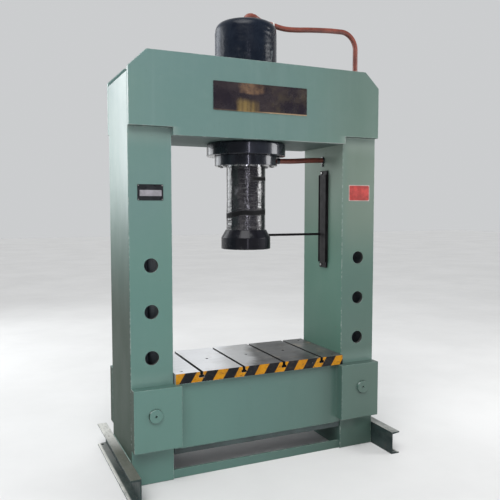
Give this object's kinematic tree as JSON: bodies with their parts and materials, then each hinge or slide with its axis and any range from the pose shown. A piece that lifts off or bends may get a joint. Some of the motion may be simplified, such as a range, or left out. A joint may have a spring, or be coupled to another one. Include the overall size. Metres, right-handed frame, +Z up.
{
  "type": "hydraulic press",
  "caption": "Workshop hydraulic press with a welded portal frame, pinned height-adjustable bed with a T-slot table, and a vertical cylinder with a flat platen.",
  "frame": {"origin": "on the floor, midway between the columns and at their mid-depth, under the cylinder's axis", "axes": "+X to the press's right side seen from the front, +Y to the rear, +Z up along the cylinder's axis"},
  "size_m": [1.7166, 0.92, 2.7478],
  "materials": {
    "frame_paint": "gloss green-grey enamel",
    "machined_steel": "ground and oiled",
    "dark_cylinder": "dark machined steel with an oil film",
    "chromed_rod": "hard chrome",
    "bronze": "bearing bronze",
    "seal_rubber": "moulded",
    "black_plastic": "moulded",
    "red_primer": "matt red-brown primer",
    "stretch_film": "thin glossy film"
  },
  "bodies": {
    "frame": {"left_column_front_plate": "frame_paint", "left_column_rear_plate": "frame_paint", "left_column_inner_plate": "frame_paint", "left_column_outer_plate": "frame_paint", "left_column_cap": "frame_paint", "left_foot": "frame_paint", "bed_left_front_ear": "frame_paint", "bed_left_rear_ear": "frame_paint", "bed_left_end": "frame_paint", "head_left_rib": "frame_paint", "right_column_front_plate": "frame_paint", "right_column_rear_plate": "frame_paint", "right_column_inner_plate": "frame_paint", "right_column_outer_plate": "frame_paint", "right_column_cap": "frame_paint", "right_foot": "frame_paint", "bed_right_front_ear": "frame_paint", "bed_right_rear_ear": "frame_paint", "bed_right_end": "frame_paint", "head_right_rib": "frame_paint", "front_tie": "frame_paint", "rear_tie": "frame_paint", "head_front_plate": "frame_paint", "head_rear_plate": "frame_paint", "head_bottom_plate": "frame_paint", "head_top_plate": "frame_paint", "bed_front_plate": "frame_paint", "bed_rear_plate": "frame_paint", "bed_top_plate": "frame_paint", "bed_bottom_plate": "frame_paint", "bed_rib_1": "frame_paint", "bed_rib_2": "frame_paint", "bed_rib_3": "frame_paint", "table_plate": "machined_steel", "cylinder_barrel": "dark_cylinder", "cylinder_cap": "dark_cylinder", "gland_ring": "dark_cylinder", "cylinder_lock_ring": "dark_cylinder", "cap_port_boss": "dark_cylinder", "lower_pipe_fitting": "dark_cylinder", "lower_pipe_union": "dark_cylinder", "upper_pipe_union": "dark_cylinder", "upper_pipe_clamp": "dark_cylinder", "guide_bush": "bronze", "rod_seal": "seal_rubber", "rod_wiper": "seal_rubber", "barrel_wrap": "stretch_film", "travel_scale": "black_plastic", "cap_elbow": "red_primer", "upper_pipe": "red_primer", "lower_pipe": "red_primer"},
    "ram": {"piston_rod": "chromed_rod", "piston": "machined_steel", "piston_nut": "machined_steel", "platen": "dark_cylinder", "piston_seal": "seal_rubber", "rod_wrap": "stretch_film", "travel_pointer": "black_plastic"},
    "left_pin": {"left_pin": "frame_paint"},
    "right_pin": {"right_pin": "frame_paint"}
  },
  "joints": [
    {"name": "ram_slide", "type": "slide", "parent": "frame", "child": "ram", "axis": [0, 0, -1], "range_m": [-0.34, 0.16], "deforming": ["rod_wrap"]},
    {"name": "left_pin_slide", "type": "slide", "parent": "frame", "child": "left_pin", "axis": [0, -1, 0], "range_m": [0, 0.645]},
    {"name": "right_pin_slide", "type": "slide", "parent": "frame", "child": "right_pin", "axis": [0, -1, 0], "range_m": [0, 0.645]}
  ]
}
